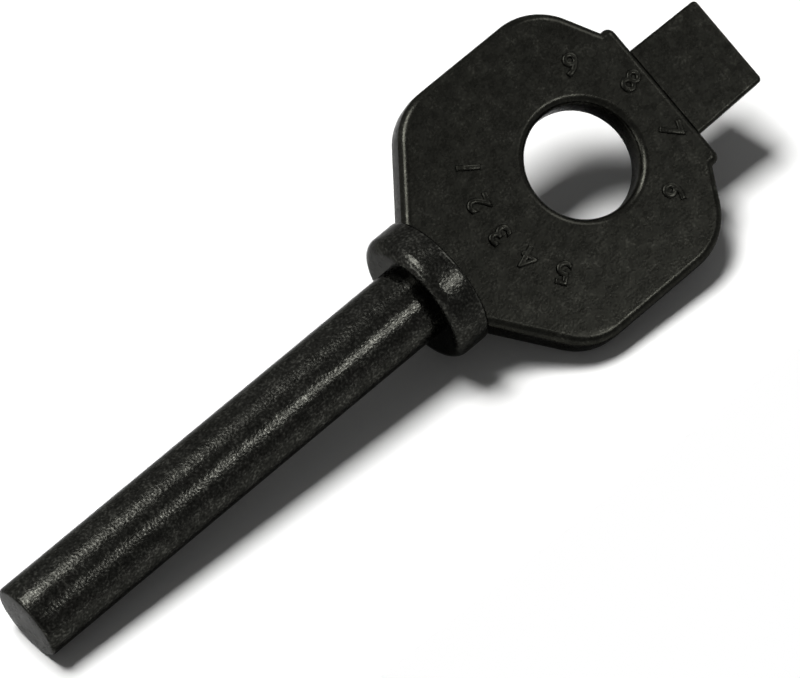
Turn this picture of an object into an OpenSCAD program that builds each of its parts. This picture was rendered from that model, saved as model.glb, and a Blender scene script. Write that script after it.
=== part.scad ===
// Furniture key: a plain round shank, a turned collar, a flat eight-sided bow
// with a finger hole, and a square tongue at the far end of the bow.
// The origin is on the shank's axis, in the plane where the shank meets the collar.
// +X runs from there to the tongue, and +Z stands square to the flat of the bow.

/* [Shank] */
// Diameter of the round shank
shank_d = 8; // [7:0.5:10]
// Free length of the shank, from its end to the collar
shank_len = 49.6; // [25:0.2:90]
// Rounding of the edge at the shank's free end
shank_end_r = 0.4; // [0.1:0.1:1]
// Height of the step from the shank down to the seat that carries the collar
seat_step = 0.5; // [0.3:0.1:0.7]

/* [Collar] */
// Outer diameter of the collar
collar_d = 14.2; // [12:0.2:18]
// Length of the collar along the shank
collar_len = 3.9; // [2.8:0.1:8]
// Rounding of the collar's edge towards the shank
collar_front_r = 1.2; // [0.2:0.1:1.5]
// Rounding of the collar's edge next to the bow
collar_back_r = 0.4; // [0.1:0.1:1]

/* [Bow] */
// Width of the bow across its two straight sides
bow_w = 30.6; // [27:0.2:38]
// Thickness of the bow
bow_t = 4.2; // [3:0.1:5]
// Rounding of the bow's outer edges
bow_edge_r = 0.9; // [0.2:0.1:1.2]
// Width of the bow where it meets the collar
neck_w = 12.7; // [8:0.1:14]
// Length along the axis of the two slopes next to the collar
near_slope_len = 7.2; // [5:0.2:12]
// Length along the axis of each straight side, before its corners are rounded
side_len = 17.8; // [15:0.2:24]
// Length along the axis of the two slopes next to the tongue
far_slope_len = 3.8; // [3:0.2:8]
// Corner radius between a side and the slope next to the collar
near_corner_r = 6.3; // [2:0.1:8]
// Corner radius between a side and the slope next to the tongue
far_corner_r = 6.8; // [2:0.1:8]

/* [Finger hole] */
// Diameter of the finger hole
hole_d = 11.6; // [8:0.2:14]
// Distance from the hole's centre to the end of the bow at the tongue
hole_to_end = 11.4; // [11:0.2:14]
// Rounding of the hole's edge on both faces
hole_edge_r = 0.9; // [0.2:0.1:1.2]

/* [Shoulder] */
// Width of the shoulder block that the tongue stands on
shoulder_w = 17.2; // [13:0.2:20]
// How far the shoulder stands past the slopes of the bow
shoulder_len = 1.2; // [0.6:0.2:3]
// Rounding of the shoulder's edges
shoulder_edge_r = 0.5; // [0.1:0.1:0.8]

/* [Tongue] */
// Length of the tongue past the shoulder
tongue_len = 8.9; // [5:0.1:14]
// Width of the tongue where it leaves the shoulder
tongue_root_w = 10.8; // [9.4:0.2:12.4]
// Width of the tongue at its free end
tongue_end_w = 10.5; // [6:0.1:12]
// Thickness of the tongue
tongue_t = 3; // [2:0.1:3.4]
// Rounding of the tongue's edges
tongue_edge_r = 0.4; // [0.1:0.1:0.6]
// Length of the tongue's tang inside the bow
tang_len = 3; // [1.5:0.1:3.4]
// Width of the tongue's tang
tang_w = 8; // [5:0.2:9]
// Thickness of the tongue's tang
tang_t = 1.6; // [1:0.1:1.8]

/* [Fits] */
// Gap left for the braze on each side of a tang or seat
braze_gap = 0.05; // [0.02:0.01:0.1]

/* [Hidden] */

// Sides of the round parts, of the bow's corners, and of the circles that round an edge
round_fn = 96;
corner_fn = 64;
edge_fn = 32;
small_edge_fn = 16;
// How far a cut runs past the face that it opens
past = 1;

seat_d = shank_d - 2 * seat_step;
bow_start = collar_len;
near_corner_x = bow_start + near_slope_len;
far_corner_x = near_corner_x + side_len;
slope_end_x = far_corner_x + far_slope_len;
bow_end = slope_end_x + shoulder_len;
hole_x = bow_end - hole_to_end;
tongue_end = bow_end + tongue_len;

// Angles that the near and far slopes make with the axis
near_angle = atan((bow_w - neck_w) / 2 / near_slope_len);
far_angle = atan((bow_w - shoulder_w) / 2 / far_slope_len);

// The stem of the bow fills the shank's slot, as wide as the seat allows at that thickness
stem_w = 2 * sqrt(pow(seat_d / 2, 2) - pow(bow_t / 2, 2)) - 2 * braze_gap;

black = [0.13, 0.13, 0.13];

// A bar along +X with a rounded outer edge at each end that has a radius
module round_bar(d, from_x, to_x, from_r, to_r) {
    translate([from_x, 0, 0])
        rotate([0, 90, 0])
            rotate_extrude($fn = round_fn)
                bar_profile(d / 2, to_x - from_x, from_r, to_r);
}

// Half of the bar's lengthwise section: radius along X, length along Y
module bar_profile(r, length, low_r, high_r) {
    translate([0, low_r])
        square([r, length - low_r - high_r]);
    square([r - low_r, length]);
    square([r - high_r, length]);
    if (low_r > 0)
        translate([r - low_r, low_r])
            circle(low_r, $fn = edge_fn);
    if (high_r > 0)
        translate([r - high_r, length - high_r])
            circle(high_r, $fn = edge_fn);
}

// A disc as thick as the bow, with both edges rounded
module bow_disc(x, y, r) {
    for (side = [-1, 1])
        translate([x, y, side * (bow_t / 2 - bow_edge_r)])
            rotate_extrude($fn = corner_fn)
                intersection() {
                    translate([r - bow_edge_r, 0])
                        circle(bow_edge_r, $fn = edge_fn);
                    translate([0, -bow_edge_r])
                        square([r, 2 * bow_edge_r]);
                }
}

// The eight-sided plate, stretched round discs that sit tangent to its edges.
// The disc next to the collar lies where the two near slopes would meet.
module eight_sided_plate() {
    tip_r = bow_edge_r;
    tip_x = bow_start - neck_w / 2 / tan(near_angle) + tip_r / sin(near_angle);
    hull() {
        bow_disc(tip_x, 0, tip_r);
        for (side = [-1, 1]) {
            bow_disc(near_corner_x + near_corner_r * tan(near_angle / 2),
                     side * (bow_w / 2 - near_corner_r), near_corner_r);
            bow_disc(far_corner_x - far_corner_r * tan(far_angle / 2),
                     side * (bow_w / 2 - far_corner_r), far_corner_r);
            bow_disc(slope_end_x - tip_r,
                     side * (shoulder_w / 2 - tip_r * tan((90 - far_angle) / 2)), tip_r);
        }
    }
}

// A block with all its edges rounded, between two corners of its box
module soft_block(low, high, r) {
    hull()
        for (x = [low.x + r, high.x - r], y = [low.y + r, high.y - r], z = [low.z + r, high.z - r])
            translate([x, y, z])
                sphere(r, $fn = small_edge_fn);
}

// The finger hole, with its rounded edge on both faces
module finger_hole() {
    r = hole_d / 2;
    translate([hole_x, 0, 0]) {
        translate([0, 0, -bow_t / 2 - past])
            cylinder(r = r, h = bow_t + 2 * past, $fn = round_fn);
        for (side = [0, 1])
            mirror([0, 0, side])
                translate([0, 0, bow_t / 2 - hole_edge_r])
                    rotate_extrude($fn = round_fn)
                        difference() {
                            square([r + hole_edge_r, hole_edge_r + past]);
                            translate([r + hole_edge_r, 0])
                                circle(hole_edge_r, $fn = edge_fn);
                        }
    }
}

module shank() {
    color(black)
        difference() {
            union() {
                round_bar(shank_d, -shank_len, 0, shank_end_r, 0);
                round_bar(seat_d, -past, collar_len, 0, 0);
            }
            // The slot that takes the bow's stem
            translate([0, -seat_d, -bow_t / 2 - braze_gap])
                cube([collar_len + past, 2 * seat_d, bow_t + 2 * braze_gap]);
        }
}

module collar() {
    color(black)
        difference() {
            round_bar(collar_d, 0, collar_len, collar_front_r, collar_back_r);
            round_bar(seat_d + 2 * braze_gap, -past, collar_len + past, 0, 0);
        }
}

module bow() {
    color(black)
        difference() {
            union() {
                difference() {
                    eight_sided_plate();
                    // The neck is cut off square where it seats on the collar
                    translate([bow_start - bow_w, -bow_w / 2, -bow_t])
                        cube([bow_w, bow_w, 2 * bow_t]);
                }
                soft_block([hole_x, -shoulder_w / 2, -bow_t / 2],
                           [bow_end, shoulder_w / 2, bow_t / 2], shoulder_edge_r);
                // The stem that fills the shank's slot under the collar
                translate([braze_gap, -stem_w / 2, -bow_t / 2])
                    cube([bow_start - braze_gap + bow_edge_r, stem_w, bow_t]);
            }
            finger_hole();
            // The mortise that takes the tongue's tang
            translate([bow_end - tang_len - braze_gap, -tang_w / 2 - braze_gap, -tang_t / 2 - braze_gap])
                cube([tang_len + braze_gap + past, tang_w + 2 * braze_gap, tang_t + 2 * braze_gap]);
        }
}

module tongue() {
    half_root = tongue_root_w / 2 - tongue_edge_r;
    half_end = tongue_end_w / 2 - tongue_edge_r;
    z = tongue_t / 2 - tongue_edge_r;
    color(black) {
        difference() {
            hull()
                for (side = [-1, 1], level = [-1, 1]) {
                    translate([bow_end, side * half_root, level * z])
                        sphere(tongue_edge_r, $fn = small_edge_fn);
                    translate([tongue_end - tongue_edge_r, side * half_end, level * z])
                        sphere(tongue_edge_r, $fn = small_edge_fn);
                }
            // The shoulder of the tongue is cut square where it seats on the bow
            translate([bow_end - tongue_root_w, -tongue_root_w, -tongue_t])
                cube([tongue_root_w, 2 * tongue_root_w, 2 * tongue_t]);
        }
        translate([bow_end - tang_len, -tang_w / 2, -tang_t / 2])
            cube([tang_len + past, tang_w, tang_t]);
    }
}

shank();
collar();
bow();
tongue();
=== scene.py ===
import math
from collections import namedtuple

import bmesh
import bpy
from mathutils import Matrix, Vector


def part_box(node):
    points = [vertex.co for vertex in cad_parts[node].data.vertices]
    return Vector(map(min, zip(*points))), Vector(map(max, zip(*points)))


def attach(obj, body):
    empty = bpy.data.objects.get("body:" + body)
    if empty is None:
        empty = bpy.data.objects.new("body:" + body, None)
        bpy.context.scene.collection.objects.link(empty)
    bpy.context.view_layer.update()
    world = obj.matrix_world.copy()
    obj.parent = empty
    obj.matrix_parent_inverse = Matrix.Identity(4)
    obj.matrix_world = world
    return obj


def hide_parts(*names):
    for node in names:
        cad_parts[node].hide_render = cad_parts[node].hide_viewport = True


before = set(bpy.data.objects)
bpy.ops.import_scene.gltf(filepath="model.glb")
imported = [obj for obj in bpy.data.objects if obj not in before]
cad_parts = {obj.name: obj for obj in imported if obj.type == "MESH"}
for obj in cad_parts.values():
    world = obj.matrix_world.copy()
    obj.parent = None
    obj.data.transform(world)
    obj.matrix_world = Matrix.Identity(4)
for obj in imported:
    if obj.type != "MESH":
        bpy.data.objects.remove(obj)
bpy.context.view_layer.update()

# The shank
# A solid round bar of blackened steel. Its free end is faced flat, with the edge just broken.
# At the other end it steps down to the seat that carries the collar.
shank_low, shank_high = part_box("shank")
shank_r = shank_high.z
shank_from = shank_low.x
seat_to = shank_high.x
seat_step = 0.0005
seat_r = shank_r - seat_step
broken_edge = 0.0004
broken_edge_steps = 6
# A ring half way out on the end face, and rings along the bar, keep its faces short
end_ring_share = 0.5
bar_lengths = 24
shank_sides = 128


def arc(centre, radius, from_deg, to_deg, steps):
    """Points on an arc, both ends included."""
    turns = [math.radians(from_deg + (to_deg - from_deg) * i / steps) for i in range(steps + 1)]
    return [(centre[0] + radius * math.cos(t), centre[1] + radius * math.sin(t)) for t in turns]


def evenly(start, end, count):
    """Points between two ends of a profile line, the ends left out, to keep long faces short."""
    return [(start[0] + (end[0] - start[0]) * i / count, start[1] + (end[1] - start[1]) * i / count)
            for i in range(1, count)]


def finish_mesh(name, bm):
    """Turns a bmesh into an object with smooth curves, crisp corners and flat faces that stay flat."""
    crisp = math.radians(38)
    bmesh.ops.recalc_face_normals(bm, faces=bm.faces)
    mesh = bpy.data.meshes.new(name)
    bm.to_mesh(mesh)
    bm.free()
    mesh.shade_smooth()
    mesh.set_sharp_from_angle(angle=crisp)
    piece = bpy.data.objects.new(name, mesh)
    bpy.context.scene.collection.objects.link(piece)
    weights = piece.modifiers.new("flat faces stay flat", "WEIGHTED_NORMAL")
    weights.keep_sharp = True
    weights.weight = 100
    return piece


def turned(name, profile, sides):
    """A closed solid turned about the X axis. The profile is a row of (x, radius)."""
    bm = bmesh.new()
    rings = []
    for x, r in profile:
        if r == 0:
            rings.append([bm.verts.new((x, 0, 0))])
            continue
        angles = [2 * math.pi * i / sides for i in range(sides)]
        rings.append([bm.verts.new((x, r * math.cos(a), r * math.sin(a))) for a in angles])
    for low, high in zip(rings, rings[1:]):
        for i in range(sides):
            j = (i + 1) % sides
            corners = [low[i % len(low)], low[j % len(low)], high[j % len(high)], high[i % len(high)]]
            unique = [c for k, c in enumerate(corners) if c not in corners[:k]]
            bm.faces.new(unique)
    return finish_mesh(name, bm)


end_curve = arc((shank_from + broken_edge, shank_r - broken_edge), broken_edge, 180, 90, broken_edge_steps)
shank_profile = (
    [(shank_from, 0), (shank_from, shank_r * end_ring_share)]
    + end_curve
    + evenly(end_curve[-1], (0, shank_r), bar_lengths)
    + [(0, shank_r), (0, seat_r), (seat_to, seat_r), (seat_to, 0)]
)
shank = turned("shank_bar", shank_profile, shank_sides)


def black_metal(name, tone, gloss, grain, pits, sparkle):
    """Blackened metal: a warm black with speckles, an uneven gloss, and a fine grain of shallow pits.

    gloss is its roughness, grain the width of the finest pits and pits their depth, in metres.
    sparkle is how much paler or darker the single grains are.
    """
    # A noise stays mostly between these two levels
    noise_low = 0.3
    noise_high = 0.7
    noise_fineness = 0.6
    grain_detail = 0.8
    patch_width = 0.0018
    patch_detail = 3
    patch_contrast = 0.3
    gloss_width = grain * 3
    gloss_detail = 3
    gloss_change = 0.05
    # The tone runs from a dark share of it, past a middle one, to a pale one
    dark_share = 0.25
    middle_share = 0.9
    pale_share = 3
    middle_at = 0.6
    sheen = 0.5

    material = bpy.data.materials.new(name)
    material.use_nodes = True
    nodes = material.node_tree.nodes
    links = material.node_tree.links
    shader = nodes["Principled BSDF"]
    place = nodes.new("ShaderNodeTexCoord")

    def noise(size, detail):
        texture = nodes.new("ShaderNodeTexNoise")
        texture.inputs["Scale"].default_value = 1 / size
        texture.inputs["Detail"].default_value = detail
        texture.inputs["Roughness"].default_value = noise_fineness
        links.new(place.outputs["Object"], texture.inputs["Vector"])
        return texture.outputs["Fac"]

    def spread(source, low, high, to_low, to_high):
        span = nodes.new("ShaderNodeMapRange")
        span.inputs["From Min"].default_value = low
        span.inputs["From Max"].default_value = high
        span.inputs["To Min"].default_value = to_low
        span.inputs["To Max"].default_value = to_high
        links.new(source, span.inputs["Value"])
        return span.outputs["Result"]

    def uneven(size, detail, low, high):
        return spread(noise(size, detail), noise_low, noise_high, low, high)

    # Patches about 2 mm across and specks as fine as the grain are a little paler or darker
    shade = nodes.new("ShaderNodeMath")
    shade.operation = "ADD"
    links.new(uneven(patch_width, patch_detail, -patch_contrast, patch_contrast), shade.inputs[0])
    links.new(uneven(grain, grain_detail, -sparkle, sparkle), shade.inputs[1])
    ramp = nodes.new("ShaderNodeValToRGB")
    stops = ramp.color_ramp.elements
    stops.new(middle_at)
    for stop, share_of_tone in zip(stops, (dark_share, middle_share, pale_share)):
        stop.color = (*[c * share_of_tone for c in tone], 1)
    links.new(spread(shade.outputs[0], -1, 1, 0, 1), ramp.inputs["Fac"])
    links.new(ramp.outputs["Color"], shader.inputs["Base Color"])

    # The black has a dull metal's sheen that doesn't brighten much at a low angle
    shader.inputs["Metallic"].default_value = 1
    shader.inputs["Specular Tint"].default_value = (sheen, sheen, sheen, 1)
    links.new(uneven(gloss_width, gloss_detail, gloss - gloss_change, gloss + gloss_change),
              shader.inputs["Roughness"])
    relief = nodes.new("ShaderNodeBump")
    relief.inputs["Distance"].default_value = pits
    links.new(noise(grain, grain_detail), relief.inputs["Height"])
    links.new(relief.outputs["Normal"], shader.inputs["Normal"])
    return material


bar_black = black_metal("blackened bar", tone=(0.0214, 0.0214, 0.0189), gloss=0.25,
                        grain=0.00026, pits=0.000028, sparkle=0.6)
shank.data.materials.append(bar_black)
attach(shank, "root")
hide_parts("shank")

# The collar
# A short ring of the same black, on the shank's seat. Its edge towards the shank is well rounded
# and its other edge, which seats against the neck of the bow, is only broken.
collar_low, collar_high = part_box("collar")
collar_r = collar_high.z
front_edge = 0.0012
front_edge_steps = 12
back_edge = 0.0004
back_edge_steps = 6
end_face_lengths = 3
rim_lengths = 4
collar_sides = 144
front_centre = (collar_low.x + front_edge, collar_r - front_edge)
back_centre = (collar_high.x - back_edge, collar_r - back_edge)
collar_profile = (
    [(collar_low.x, seat_r)]
    + evenly((collar_low.x, seat_r), (collar_low.x, collar_r - front_edge), end_face_lengths)
    + arc(front_centre, front_edge, 180, 90, front_edge_steps)
    + evenly((collar_low.x + front_edge, collar_r), (collar_high.x - back_edge, collar_r), rim_lengths)
    + arc(back_centre, back_edge, 90, 0, back_edge_steps)
    + evenly((collar_high.x, collar_r - back_edge), (collar_high.x, seat_r), end_face_lengths)
    + [(collar_high.x, seat_r), (collar_low.x, seat_r)]
)
collar = turned("collar_ring", collar_profile, collar_sides)
collar.data.materials.append(bar_black)
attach(collar, "root")
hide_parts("collar")

# The bow
# A cast plate with eight sides, a finger hole and a shoulder at its far end. Its walls have a little
# draft from the parting line at mid-thickness, and its edges are rounded as the pattern left them.
bow_low, bow_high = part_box("bow")
bow_half = bow_high.y
bow_from = collar_high.x
bow_to = bow_high.x
bow_t = bow_high.z - bow_low.z
bow_edge = 0.0009
shoulder_edge = 0.0008
neck_half = 0.00635
near_slope_len = 0.0072
side_len = 0.0178
far_slope_len = 0.0038
near_x = bow_from + near_slope_len
far_x = near_x + side_len
slope_end = far_x + far_slope_len
shoulder_half = 0.0086
near_round = 0.0063
far_round = 0.0068
shoulder_round = 0.0009
hole_r = 0.0058
hole_edge = 0.0009
hole_to_end = 0.0114
hole_x = bow_to - hole_to_end
hole_sides = 144
draft = 0.00003
corner_steps = 16
rim_steps = 8

# A corner of an outline: its place, its radius, and how far the edge of the side after it is rounded.
# A side with an edge of 0 seats on another piece and is left square.
Corner = namedtuple("Corner", "x y radius edge")


def outline_ring(corners, share_in, drafted):
    """The outline with each side moved inwards and its corners rounded anew.

    A side moves by its share of the edge and by the draft. Each point is (x, y, edge radius there).
    The corners run anticlockwise seen from above.
    """
    in_line = 1e-6
    points = []
    sides = []
    for corner, after in zip(corners, corners[1:] + corners[:1]):
        along = Vector((after.x - corner.x, after.y - corner.y)).normalized()
        inset = corner.edge * share_in + drafted * draft if corner.edge else 0
        sides.append((along, inset))
    for i, corner in enumerate(corners):
        (along_before, inset_before), (along_after, inset_after) = sides[i - 1], sides[i]
        n1 = Vector((-along_before.y, along_before.x))
        n2 = Vector((-along_after.y, along_after.x))
        cross = n1.x * n2.y - n1.y * n2.x
        shift = Vector((inset_before * n2.y - inset_after * n1.y,
                        n1.x * inset_after - n2.x * inset_before))
        moved = shift / cross if abs(cross) > in_line else n1 * inset_before
        here = Vector((corner.x, corner.y)) + moved
        edges = [e for e in (corners[i - 1].edge, corner.edge) if e]
        edge = sum(edges) / len(edges)
        if corner.radius == 0:
            points.append((here.x, here.y, edge))
            continue
        radius = corner.radius - max(inset_before, inset_after)
        turn = along_before.angle_signed(along_after)
        reach = radius * math.tan(abs(turn) / 2)
        centre = here - along_before * reach + n1 * radius
        for k in range(corner_steps + 1):
            spoke = Matrix.Rotation(abs(turn) * k / corner_steps, 2) @ (-n1 * radius)
            points.append((centre.x + spoke.x, centre.y + spoke.y, edge))
    return points


def plate(name, corners, thickness, holes):
    """A flat plate with rounded rims round its outline and round its holes, as (x, radius, edge radius)."""
    bm = bmesh.new()
    rise = [math.radians(90 * i / rim_steps) for i in range(rim_steps + 1)]
    top = [(1 - math.cos(a), 1 - math.sin(a), 1, 1) for a in rise]
    bottom = [(share_in, share_down, drafted, -1) for share_in, share_down, drafted, _ in reversed(top)]
    levels = bottom + [(0, 0, 0, 0)] + top
    walls = [[outline_ring(corners, share_in, drafted) for share_in, _, drafted, _ in levels]]
    for x, radius, edge in holes:
        hole_wall = []
        for share_in, _, drafted, _ in levels:
            widened = radius + edge * share_in + draft * drafted
            circle = arc((x, 0), widened, 0, 360, hole_sides)[:-1]
            hole_wall.append([(px, py, edge) for px, py in circle])
        walls.append(hole_wall)
    rims = {1: [], -1: []}
    for wall in walls:
        rings = []
        for points, (_, share_down, _, side) in zip(wall, levels):
            rings.append([bm.verts.new((x, y, side * (thickness / 2 - edge * share_down)))
                          for x, y, edge in points])
        for low, high in zip(rings, rings[1:]):
            for i in range(len(low)):
                j = (i + 1) % len(low)
                bm.faces.new((low[i], low[j], high[j], high[i]))
        rims[-1].append(rings[0])
        rims[1].append(rings[-1])
    for rim in rims.values():
        edges = [bm.edges.get((ring[i - 1], ring[i])) for ring in rim for i in range(len(ring))]
        bmesh.ops.triangle_fill(bm, edges=edges, use_beauty=True)
    return finish_mesh(name, bm)


# The +Y side from the tongue back to the collar, then its mirror image. The short side before the
# shoulder's inner corner lets the slope's rounding end just short of the shoulder's smaller one.
short_side = 0.0004
slope_way = (Vector((far_x, bow_half)) - Vector((slope_end, shoulder_half))).normalized() * short_side
upper = [
    Corner(bow_to, shoulder_half, shoulder_round, shoulder_edge),
    Corner(slope_end, shoulder_half, 0, bow_edge),
    Corner(slope_end + slope_way.x, shoulder_half + slope_way.y, 0, bow_edge),
    Corner(far_x, bow_half, far_round, bow_edge),
    Corner(near_x, bow_half, near_round, bow_edge),
    Corner(bow_from, neck_half, 0, 0),
]
lower_edges = [bow_edge, bow_edge, bow_edge, bow_edge, shoulder_edge, shoulder_edge]
lower = [Corner(c.x, -c.y, c.radius, edge) for c, edge in zip(reversed(upper), lower_edges)]
bow = plate("bow_plate", upper + lower, bow_t, [(hole_x, hole_r, hole_edge)])
cast_black = black_metal("black casting", tone=(0.018, 0.018, 0.0152), gloss=0.28,
                         grain=0.00026, pits=0.000012, sparkle=0.28)
bow.data.materials.append(cast_black)
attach(bow, "root")
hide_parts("bow")

# The figures
# Plain raised figures in two arcs round the finger hole, with rounded strokes.
# They are cast with the bow and of its own black.
figure_height = 0.0023
cap_height_share = 0.7
figure_relief = 0.00006
figure_rounding = 0.0002
rounding_steps = 3
curve_steps = 4
figure_thinning = 0.00006
collar_side_r = 0.0116
collar_side_count = 5
collar_side_from = 146
collar_side_turn = 18
tongue_side_r = 0.0095
tongue_side_count = 4
tongue_side_from = -58
tongue_side_turn = 38
join_distance = 1e-6
figure_places = (
    [(collar_side_r, collar_side_from + collar_side_turn * i) for i in range(collar_side_count)]
    + [(tongue_side_r, tongue_side_from + tongue_side_turn * i) for i in range(tongue_side_count)]
)
figures_mesh = bmesh.new()
for number, (from_hole, direction) in enumerate(figure_places, 1):
    text = bpy.data.curves.new("figure", "FONT")
    text.body = str(number)
    text.align_x = "CENTER"
    text.align_y = "CENTER"
    text.size = figure_height / cap_height_share
    text.extrude = figure_relief
    text.bevel_depth = figure_rounding
    text.bevel_resolution = rounding_steps
    text.offset = -figure_thinning
    text.resolution_u = curve_steps
    template = bpy.data.objects.new("figure", text)
    bpy.context.scene.collection.objects.link(template)
    turn = math.radians(direction)
    face_point = Vector((hole_x + from_hole * math.cos(turn), from_hole * math.sin(turn), bow_t / 2))
    evaluated = template.evaluated_get(bpy.context.evaluated_depsgraph_get())
    drawn = bpy.data.meshes.new_from_object(evaluated)
    drawn.transform(Matrix.Translation(face_point) @ Matrix.Rotation(turn - math.pi / 2, 4, "Z"))
    figures_mesh.from_mesh(drawn)
    bpy.data.objects.remove(template)
    bpy.data.meshes.remove(drawn)
# The drawn fronts, walls and backs only touch, so they are joined into closed figures
bmesh.ops.remove_doubles(figures_mesh, verts=figures_mesh.verts, dist=join_distance)
figures = finish_mesh("raised_figures", figures_mesh)
figures.data.materials.append(cast_black)
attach(figures, "root")

# The tongue
# A flat square blade that stands on the shoulder, brazed in by its tang. It is thinner than the bow
# and narrows a little to its free end.
tongue_low, tongue_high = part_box("tongue")
tongue_t = tongue_high.z - tongue_low.z
root_half = tongue_high.y
end_half = 0.00525
tongue_edge = 0.0004
tongue_round = 0.0005
tongue_corners = [
    Corner(bow_to, -root_half, 0, tongue_edge),
    Corner(tongue_high.x, -end_half, tongue_round, tongue_edge),
    Corner(tongue_high.x, end_half, tongue_round, tongue_edge),
    Corner(bow_to, root_half, 0, 0),
]
tongue = plate("tongue_blade", tongue_corners, tongue_t, [])
tongue.data.materials.append(cast_black)
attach(tongue, "root")
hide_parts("tongue")

# The ground
# A plain, pale and matt surface. The key keeps its place and the ground is tilted instead, so that it
# touches the end of the shank and one side of the bow. It ends close beside the low side, and it
# doesn't show from below.
ground_roll = math.radians(31)
ground_fall = 0.085
half_size = 0.6
low_side = -0.026
ground_colour = (0.98, 0.98, 0.97, 1)
upright = Vector((ground_fall, math.sin(ground_roll), math.cos(ground_roll))).normalized()
lengthwise = (Vector((1, 0, 0)) - upright * upright.x).normalized()
sideways = upright.cross(lengthwise)
lowest = min(upright.dot(v.co) for piece in (shank, collar, bow, tongue) for v in piece.data.vertices)
ground = bpy.data.meshes.new("ground")
ground_outline = [
    (-half_size, low_side),
    (half_size, low_side),
    (half_size, half_size),
    (-half_size, half_size),
]
ground_corners = [upright * lowest + lengthwise * a + sideways * b for a, b in ground_outline]
ground.from_pydata(ground_corners, [], [(0, 1, 2, 3)])
floor = bpy.data.objects.new("ground", ground)
bpy.context.scene.collection.objects.link(floor)
pale = bpy.data.materials.new("pale ground")
pale.use_nodes = True
pale_nodes = pale.node_tree.nodes
pale_links = pale.node_tree.links
pale_shader = pale_nodes["Principled BSDF"]
pale_shader.inputs["Base Color"].default_value = ground_colour
pale_shader.inputs["Roughness"].default_value = 1
pale_shader.inputs["Specular IOR Level"].default_value = 0
from_below = pale_nodes.new("ShaderNodeNewGeometry")
unseen = pale_nodes.new("ShaderNodeBsdfTransparent")
one_sided = pale_nodes.new("ShaderNodeMixShader")
pale_links.new(from_below.outputs["Backfacing"], one_sided.inputs["Fac"])
pale_links.new(pale_shader.outputs["BSDF"], one_sided.inputs[1])
pale_links.new(unseen.outputs["BSDF"], one_sided.inputs[2])
pale_links.new(one_sided.outputs["Shader"], pale_nodes["Material Output"].inputs["Surface"])
ground.materials.append(pale)

# Studio light
# A soft lamp far off on the +Y side lights the ground and casts the shadow. A window strip on that side
# and three smaller lamps, two beyond the tongue and one beside the shank's end, show in the key's sheen.
middle = (-0.005, 0, 0)


def soft_lamp(name, place, size, power, for_sheen):
    """A soft lamp at a place, turned to the middle of the key.

    One that is for the sheen shows only in reflections. The other lights all but those.
    """
    light = bpy.data.lights.new(name, "AREA")
    light.shape = "RECTANGLE"
    light.size, light.size_y = size
    light.energy = power
    lamp = bpy.data.objects.new(name, light)
    bpy.context.scene.collection.objects.link(lamp)
    lamp.location = place
    lamp.rotation_mode = "QUATERNION"
    lamp.rotation_quaternion = (Vector(place) - Vector(middle)).to_track_quat("Z", "Y")
    lamp.visible_camera = False
    lamp.visible_diffuse = not for_sheen
    lamp.visible_glossy = for_sheen


soft_lamp("main", place=(-0.1, 2.58, 2.51), size=(1.35, 1.35), power=158, for_sheen=False)
soft_lamp("window strip", place=(-0.085, 0.31, 0.28), size=(0.27, 0.17), power=2.37, for_sheen=True)
soft_lamp("overhead", place=(0.146, -0.116, 0.41), size=(0.08, 0.08), power=0.52, for_sheen=True)
soft_lamp("far end", place=(0.34, 0.12, 0.3), size=(0.2, 0.2), power=0.7, for_sheen=True)
soft_lamp("far corner", place=(-0.36, 0.2, 0.14), size=(0.16, 0.12), power=0.4, for_sheen=True)

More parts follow.
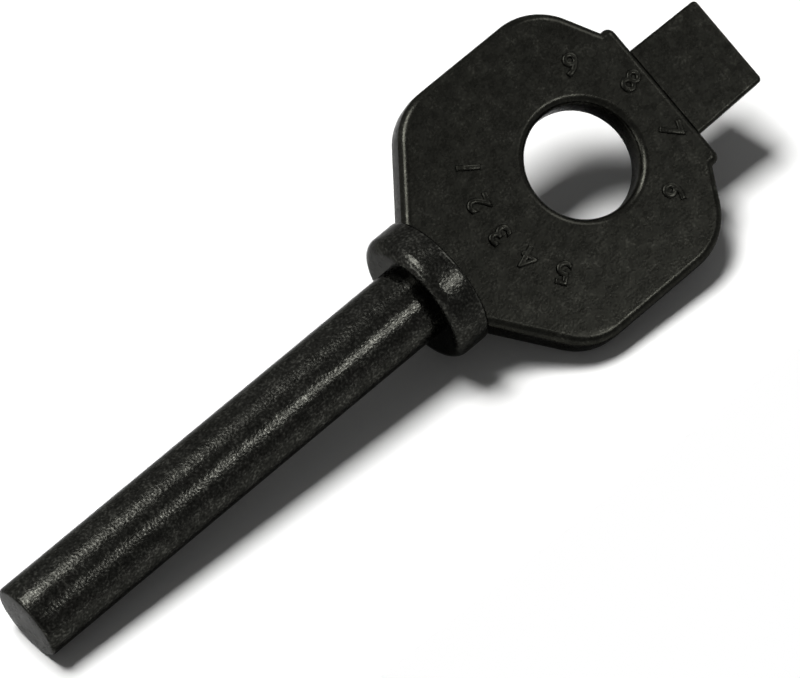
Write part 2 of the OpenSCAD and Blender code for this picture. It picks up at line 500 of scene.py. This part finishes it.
# The room
# It is white to the camera. In the key's sheen its walls are pale and its ceiling is darker, and
# everywhere else it gives only a little fill light.
white_level = 1.0
fill_level = 0.095
wall_top = 0.1
ceiling_from = 0.6
wall_level = 0.9
ceiling_level = 0.44
world = bpy.data.worlds.new("studio")
bpy.context.scene.world = world
world.use_nodes = True
world_nodes = world.node_tree.nodes
world_links = world.node_tree.links
background = world_nodes["Background"]
background.inputs["Color"].default_value = (1, 1, 1, 1)
world_ray = world_nodes.new("ShaderNodeLightPath")
direction_seen = world_nodes.new("ShaderNodeTexCoord")
height_seen = world_nodes.new("ShaderNodeSeparateXYZ")
world_links.new(direction_seen.outputs["Generated"], height_seen.inputs["Vector"])
room = world_nodes.new("ShaderNodeMapRange")
room.interpolation_type = "SMOOTHSTEP"
room.inputs["From Min"].default_value = wall_top
room.inputs["From Max"].default_value = ceiling_from
room.inputs["To Min"].default_value = wall_level
room.inputs["To Max"].default_value = ceiling_level
world_links.new(height_seen.outputs["Z"], room.inputs["Value"])


def world_level(ray, level, rest):
    """The world's strength: one level for a kind of ray, and the rest's level for all others."""
    mix = world_nodes.new("ShaderNodeMix")
    mix.data_type = "FLOAT"
    for value, socket in ((level, mix.inputs["B"]), (rest, mix.inputs["A"])):
        if isinstance(value, float):
            socket.default_value = value
        else:
            world_links.new(value, socket)
    world_links.new(world_ray.outputs[ray], mix.inputs["Factor"])
    return mix.outputs["Result"]


sheen_or_fill = world_level("Is Glossy Ray", room.outputs["Result"], fill_level)
strength = world_level("Is Camera Ray", white_level, sheen_or_fill)
world_links.new(strength, background.inputs["Strength"])

# The camera
# It looks down on the key from beyond the shank's free end, with a long lens.
picture_width = 800
focal_pixels = 5206
eye = Vector((-0.15671, -0.01272, 0.4802))
aim = Vector((-0.00317, -0.00197, 0))
key_slant = math.radians(39.77)
camera_data = bpy.data.cameras.new("camera")
camera_data.sensor_width = 36
camera_data.lens = focal_pixels / picture_width * camera_data.sensor_width
camera_data.clip_start = 0.01
camera = bpy.data.objects.new("camera", camera_data)
bpy.context.scene.collection.objects.link(camera)
bpy.context.scene.camera = camera
forward = (aim - eye).normalized()
# The key's axis, seen square to the view, is turned until it rises to the right by its slant
along = (Vector((1, 0, 0)) - forward * forward.x).normalized()
across = along.cross(forward)
right = along * math.cos(key_slant) - across * math.sin(key_slant)
up = right.cross(forward)
camera.rotation_mode = "QUATERNION"
camera.rotation_quaternion = Matrix((right, up, -forward)).transposed().to_quaternion()
camera.location = eye

bpy.context.scene.view_settings.view_transform = "Standard"
